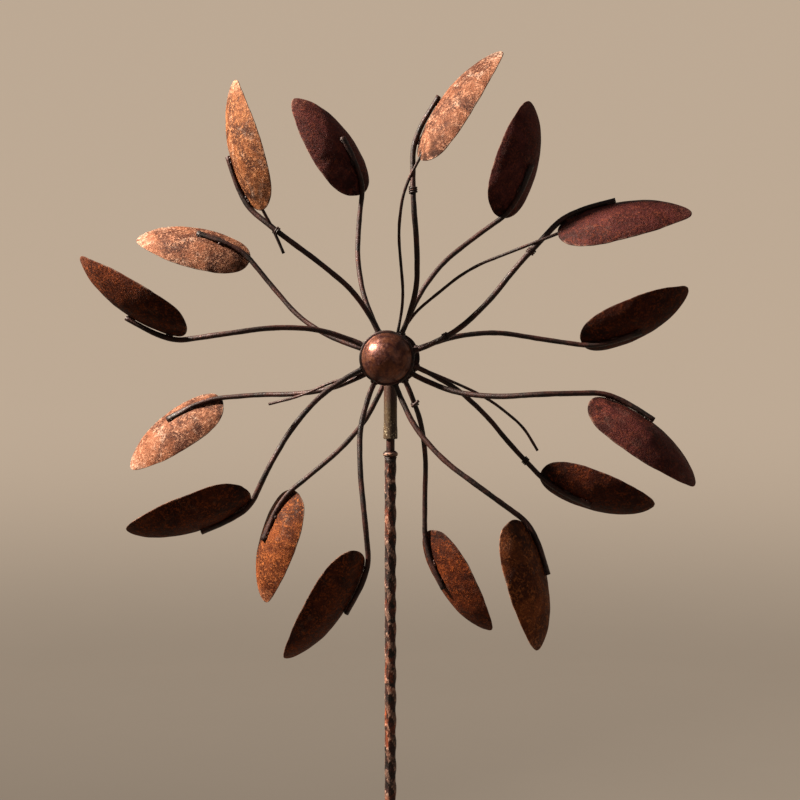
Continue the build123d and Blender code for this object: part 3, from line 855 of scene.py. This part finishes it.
def make_sleeve():
    """Upright tube of the head, with a filed lower lip and the weld round the axle boss."""
    bottom = SLEEVE_BOX[0].z
    top = HUB_HEIGHT - BOSS_RADIUS + 2.5 * MM
    lip = SLEEVE_LIP
    waist = SLEEVE_RADIUS - 0.45 * MM
    profile = [(BUSH_RADIUS, bottom + lip), (BUSH_RADIUS + lip, bottom)]
    profile += [(SLEEVE_RADIUS - lip, bottom)]
    profile += [(SLEEVE_RADIUS, bottom + lip), (SLEEVE_RADIUS, bottom + 9 * MM)]
    profile += [(SLEEVE_RADIUS - 0.35 * MM, bottom + 13 * MM)]
    for step in range(1, 8):
        profile.append((waist, bottom + 13 * MM + (top - bottom - 16 * MM) * step / 8))
    profile += [(waist, top), (BUSH_RADIUS, top)]
    bm = bmesh.new()
    lathe(bm, profile, (0, 0, 0), (0, 0, 1), 64)
    outside = [v for v in bm.verts if v.co.xy.length > BUSH_RADIUS + 0.7 * MM]
    roughen(bm, outside, 0.12 * MM, 6 * MM)
    add_saddle_weld(bm)
    finish_piece(bm, "sleeve_tube", finishes()["sleeve"], "head",
                 ["head_sleeve"], 40)


def add_saddle_weld(bm):
    """Beads round the joint where the upright sleeve meets the level boss."""
    for bead in range(SADDLE_BEADS):
        angle = FULL_TURN * bead / SADDLE_BEADS
        ring = SLEEVE_RADIUS + 0.2 * MM
        x = ring * math.cos(angle)
        y = ring * math.sin(angle)
        z = HUB_HEIGHT - math.sqrt(BOSS_RADIUS**2 - min(abs(x), BOSS_RADIUS) ** 2)
        along = Vector((-math.sin(angle), math.cos(angle), 0))
        add_bead(bm, Vector((x, y, z)), 1.15 * MM, along, 1.1, bead * 1.7)


def make_boss():
    """Level tube that carries the axle, its ends faced and eased."""
    half = -BOSS_BOX[0].y
    ease = 0.9 * MM
    profile = [(AXLE_RADIUS, half), (BOSS_RADIUS - ease, half)]
    profile += arc((BOSS_RADIUS - ease, half - ease), ease, 90, 0, 4)[1:]
    profile += [(BOSS_RADIUS, half * share) for share in (0.6, 0.2, -0.2, -0.6)]
    profile += arc((BOSS_RADIUS - ease, -half + ease), ease, 0, -90, 4)
    profile += [(AXLE_RADIUS, -half)]
    bm = bmesh.new()
    lathe(bm, profile, HUB, (0, 1, 0), 64)
    outside = [v for v in bm.verts if (v.co - HUB).xz.length > BOSS_RADIUS - 0.1 * MM]
    roughen(bm, outside, 0.15 * MM, 6 * MM)
    finish_piece(bm, "boss_tube", finishes()["hub"], "head", ["axle_boss"], 35)


# --- Pole ---------------------------------------------------------------------------------------

POLE_RING = 2.4 * MM


def hammer_mark(angle, height, iron):
    """Depth share of the slanted hammer dents at a place on the pole, from 0 to 1."""
    deepest = 0.0
    rows = iron.hammer_rows
    for row in range(rows):
        jitter = noise.noise(Vector((row * 7.3, math.floor(height / iron.hammer_pitch), 2.0)))
        phase = height / iron.hammer_pitch + row * 0.42 + 0.12 * jitter
        level = phase - math.floor(phase) - 0.5
        aside = (angle - FULL_TURN * row / rows + level * 0.9) % FULL_TURN
        if aside > math.pi:
            aside -= FULL_TURN
        distance = math.hypot(level / 0.46, aside / 0.72)
        deepest = max(deepest, 1 - distance)
    return deepest


def make_pole_section(node):
    """One hammered length of tube."""
    iron = bpy.context.scene.spinner_iron
    low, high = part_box(node)
    bottom, top = low.z, high.z
    ease = 0.5 * MM
    rings = int((top - bottom) / POLE_RING)
    radius = POLE_RADIUS - 0.1 * MM
    profile = [(SPIGOT_RADIUS, bottom), (radius - ease, bottom)]
    for step in range(rings + 1):
        profile.append((radius, bottom + ease + (top - bottom - 2 * ease) * step / rings))
    profile += [(radius - ease, top), (SPIGOT_RADIUS, top)]
    bm = bmesh.new()
    rub_and_glint_layer = bm.verts.layers.float.new("rim_rub_and_glint")
    lathe(bm, profile, (0, 0, 0), (0, 0, 1), 44)
    for vert in bm.verts:
        if vert.co.xy.length < radius - 0.1 * MM:
            continue
        angle = math.atan2(vert.co.y, vert.co.x)
        mark = hammer_mark(angle, vert.co.z, iron)
        away = Vector((vert.co.x, vert.co.y, 0)).normalized()
        fade = smoothstep(0, 6 * MM, min(vert.co.z - bottom, top - vert.co.z))
        hollow = smoothstep(0.0, 0.55, mark) * fade
        grain = noise.noise(vert.co / (4 * MM)) * 0.10 * MM
        vert.co += away * (grain - hollow * iron.hammer_depth)
        # Marks the dent rims, which the pole's finish paints pale as wear and as a painted glint.
        vert[rub_and_glint_layer] = max(0.0, 1 - abs(mark - 0.10) / 0.20) * fade
    finish_piece(bm, f"{node}_hammered", finishes()["pole"], "pole", [node], 60)


def make_collar():
    """Rolled bead at the top of the pole, widest at mid height."""
    bottom, top = COLLAR_BOX[0].z, COLLAR_BOX[1].z
    bead = (top - bottom) * 0.36
    middle = bottom + (top - bottom) * 0.56
    profile = [(SPIGOT_RADIUS, bottom), (POLE_RADIUS, bottom)]
    profile += [(POLE_RADIUS + 0.3 * MM, bottom + 0.6 * MM)]
    profile += arc((COLLAR_RADIUS - bead, middle), bead, -75, 80, 12)
    profile += [(SPIGOT_RADIUS + 1.4 * MM, top), (SPIGOT_RADIUS, top)]
    bm = bmesh.new()
    lathe(bm, profile, (0, 0, 0), (0, 0, 1), 56)
    outside = [v for v in bm.verts if v.co.xy.length > POLE_RADIUS]
    roughen(bm, outside, 0.22 * MM, 4 * MM)
    # The bead's widest rim is marked for the same pale wear and painted glint as the pole's dent
    # rims.
    layer = bm.verts.layers.float.new("rim_rub_and_glint")
    for vert in bm.verts:
        vert[layer] = smoothstep(COLLAR_RADIUS - 1.2 * MM, COLLAR_RADIUS, vert.co.xy.length) * 0.7
    finish_piece(bm, "collar_bead", finishes()["pole"], "pole", ["pole_collar"], 50)


def make_anchor():
    """Ground spike and step fork, forged rather than turned."""
    iron = bpy.context.scene.spinner_iron
    solid = SPIGOT_RADIUS + 0.3 * MM
    for node in ("ground_spike", "step_fork"):
        bm = dense_copy(node, 6 * MM)
        outer = [v for v in bm.verts if node == "step_fork" or v.co.xy.length > solid]
        roughen(bm, outer, iron.rod_unevenness * 1.2, 6 * MM)
        finish_piece(bm, f"{node}_forged", finishes()["rod"], "pole", [node], 45)


# --- Stage --------------------------------------------------------------------------------------


FLOOR_FLAT = 4.6
FLOOR_SWEEP = 1.6
WALL_TOP = 5.5
LIGHT_DISTANCE = 2.6
KEY_COLOUR = (1.0, 0.90, 0.77)
SKY_COLOUR = (0.93, 0.95, 1.0)


def make_floor():
    """A round floor whose edge sweeps up into a pale wall all round."""
    profile = [(0.0, 0.0), (1.2, 0.0), (2.6, 0.0)]
    profile += arc((FLOOR_FLAT, FLOOR_SWEEP), FLOOR_SWEEP, -90, 0, 16)
    profile += [(FLOOR_FLAT + FLOOR_SWEEP, WALL_TOP)]
    bm = bmesh.new()
    lathe(bm, profile, (0, 0, 0), (0, 0, 1), 96, closed=False)
    if sum(face.normal.z for face in bm.faces) < 0:
        bmesh.ops.reverse_faces(bm, faces=bm.faces)
    mesh = bpy.data.meshes.new("studio_floor")
    bm.to_mesh(mesh)
    bm.free()
    mesh.shade_smooth()
    mesh.materials.append(finishes()["floor"])
    floor = bpy.data.objects.new("studio_floor", mesh)
    bpy.context.scene.collection.objects.link(floor)


def add_area_light(name, direction, size, spread, power, colour):
    """Soft round light that shines at the hub from a direction, held to a spread in degrees."""
    data = bpy.data.lights.new(name, "AREA")
    data.shape = "DISK"
    data.size = size
    data.spread = math.radians(spread)
    data.energy = power
    data.color = colour
    light = bpy.data.objects.new(name, data)
    away = Vector(direction).normalized()
    light.location = HUB + away * LIGHT_DISTANCE
    light.rotation_mode = "QUATERNION"
    light.rotation_quaternion = (-away).to_track_quat("-Z", "Y")
    light.visible_camera = False
    bpy.context.scene.collection.objects.link(light)


def make_lights(settings):
    """A warm low sun from the upper left, a weak broad fill, and a dim open sky."""
    add_area_light("key_light", (-0.78, -0.16, 0.62), 0.26, 75, settings.key_power, KEY_COLOUR)
    add_area_light("fill_light", (0.75, -0.9, 0.25), 1.6, 180, settings.fill_power, SKY_COLOUR)
    world = bpy.data.worlds.new("pale_surroundings")
    bpy.context.scene.world = world
    world.use_nodes = True
    background = world.node_tree.nodes["Background"]
    background.inputs["Color"].default_value = (*SKY_COLOUR, 1.0)
    background.inputs["Strength"].default_value = settings.sky_strength


def make_camera(settings):
    """Camera level with the hub, turned a little off it."""
    data = bpy.data.cameras.new("camera")
    data.lens = settings.lens
    data.dof.use_dof = False
    camera = bpy.data.objects.new("camera", data)
    bpy.context.scene.collection.objects.link(camera)
    away = Vector((math.sin(settings.camera_azimuth), -math.cos(settings.camera_azimuth), 0))
    camera.location = HUB + away * settings.camera_distance
    camera.rotation_mode = "QUATERNION"
    aim = Euler((-settings.aim_down, -settings.aim_right, 0)).to_quaternion()
    camera.rotation_quaternion = (-away).to_track_quat("-Z", "Y") @ aim
    bpy.context.scene.camera = camera


# --- Operators ----------------------------------------------------------------------------------


class SPINNER_OT_leaves(bpy.types.Operator):
    """Beat the sixteen cupped leaves from sheet"""
    bl_idname = "spinner.leaves"
    bl_label = "Leaves"

    def execute(self, context):
        for rotor in ROTORS:
            for number in range(1, ARM_COUNT + 1):
                make_leaf(rotor, number)
        return {"FINISHED"}


class SPINNER_OT_arms(bpy.types.Operator):
    """Forge the S-bent arms, weld them to the leaves and lash the tie wires"""
    bl_idname = "spinner.arms"
    bl_label = "Arms and Tie Wires"

    def execute(self, context):
        for rotor in ROTORS:
            for number in range(1, ARM_COUNT + 1):
                make_arm(rotor, number)
            make_ties(rotor)
        return {"FINISHED"}


class SPINNER_OT_hubs(bpy.types.Operator):
    """Turn both hubs and beat the domed caps"""
    bl_idname = "spinner.hubs"
    bl_label = "Hubs and Caps"

    def execute(self, context):
        for rotor in ROTORS:
            make_hub(rotor)
            make_cap(rotor)
        return {"FINISHED"}


class SPINNER_OT_head(bpy.types.Operator):
    """Make the swivelling sleeve and the boss that carries the axle"""
    bl_idname = "spinner.head"
    bl_label = "Head"

    def execute(self, context):
        make_sleeve()
        make_boss()
        return {"FINISHED"}


class SPINNER_OT_pole(bpy.types.Operator):
    """Hammer the pole's sections, roll its collar and forge the ground anchor"""
    bl_idname = "spinner.pole"
    bl_label = "Pole and Anchor"

    def execute(self, context):
        for node in ("pole_lower", "pole_middle", "pole_upper"):
            make_pole_section(node)
        make_collar()
        make_anchor()
        return {"FINISHED"}


class SPINNER_OT_inner_works(bpy.types.Operator):
    """Finish the bearings, axle and bushes, which keep their machined shapes"""
    bl_idname = "spinner.inner_works"
    bl_label = "Inner Works"

    def execute(self, context):
        made = finishes()
        finish_cad(["axle", "axle_spacers", "axle_nuts", "pole_joint_spigots"], made["steel"])
        finish_cad(["pivot_spigot"], made["rod"])
        finish_cad(["bearing_inner_rings", "front_bearing_outer_rings", "rear_bearing_outer_rings",
                    "front_bearing_balls", "rear_bearing_balls", "thrust_ball"], made["bearing"])
        finish_cad(["sleeve_bushes", "thrust_pad"], made["bronze"])
        return {"FINISHED"}


class SPINNER_OT_stage(bpy.types.Operator):
    """Set the pale floor, the soft lights and the camera"""
    bl_idname = "spinner.stage"
    bl_label = "Stage"

    def execute(self, context):
        settings = context.scene.spinner_stage
        make_floor()
        make_lights(settings)
        make_camera(settings)
        context.scene.view_settings.view_transform = "Standard"
        return {"FINISHED"}


class SPINNER_PT_sidebar(bpy.types.Panel):
    """Sidebar tab with one button for each group of pieces"""
    bl_idname = "SPINNER_PT_sidebar"
    bl_label = "Wind Spinner"
    bl_space_type = "VIEW_3D"
    bl_region_type = "UI"
    bl_category = "Wind Spinner"

    def draw(self, context):
        for operator in OPERATORS:
            self.layout.operator(operator.bl_idname)
        for group in (context.scene.spinner_leaf, context.scene.spinner_iron):
            box = self.layout.box()
            for name in group.bl_rna.properties.keys():
                if name not in ("rna_type", "name"):
                    box.prop(group, name)


OPERATORS = (
    SPINNER_OT_leaves,
    SPINNER_OT_arms,
    SPINNER_OT_hubs,
    SPINNER_OT_head,
    SPINNER_OT_pole,
    SPINNER_OT_inner_works,
    SPINNER_OT_stage,
)
GROUPS = {
    "spinner_leaf": SpinnerLeafSizes,
    "spinner_iron": SpinnerIronSizes,
    "spinner_colours": SpinnerColours,
    "spinner_stage": SpinnerStageSettings,
}


def register():
    for group in GROUPS.values():
        bpy.utils.register_class(group)
    for name, group in GROUPS.items():
        setattr(bpy.types.Scene, name, PointerProperty(type=group))
    for operator in OPERATORS:
        bpy.utils.register_class(operator)
    bpy.utils.register_class(SPINNER_PT_sidebar)


def unregister():
    bpy.utils.unregister_class(SPINNER_PT_sidebar)
    for operator in reversed(OPERATORS):
        bpy.utils.unregister_class(operator)
    for name, group in reversed(list(GROUPS.items())):
        delattr(bpy.types.Scene, name)
        bpy.utils.unregister_class(group)


def main():
    register()
    bpy.ops.spinner.leaves()
    bpy.ops.spinner.arms()
    bpy.ops.spinner.hubs()
    bpy.ops.spinner.head()
    bpy.ops.spinner.pole()
    bpy.ops.spinner.inner_works()
    bpy.ops.spinner.stage()


if __name__ == "__main__":
    main()
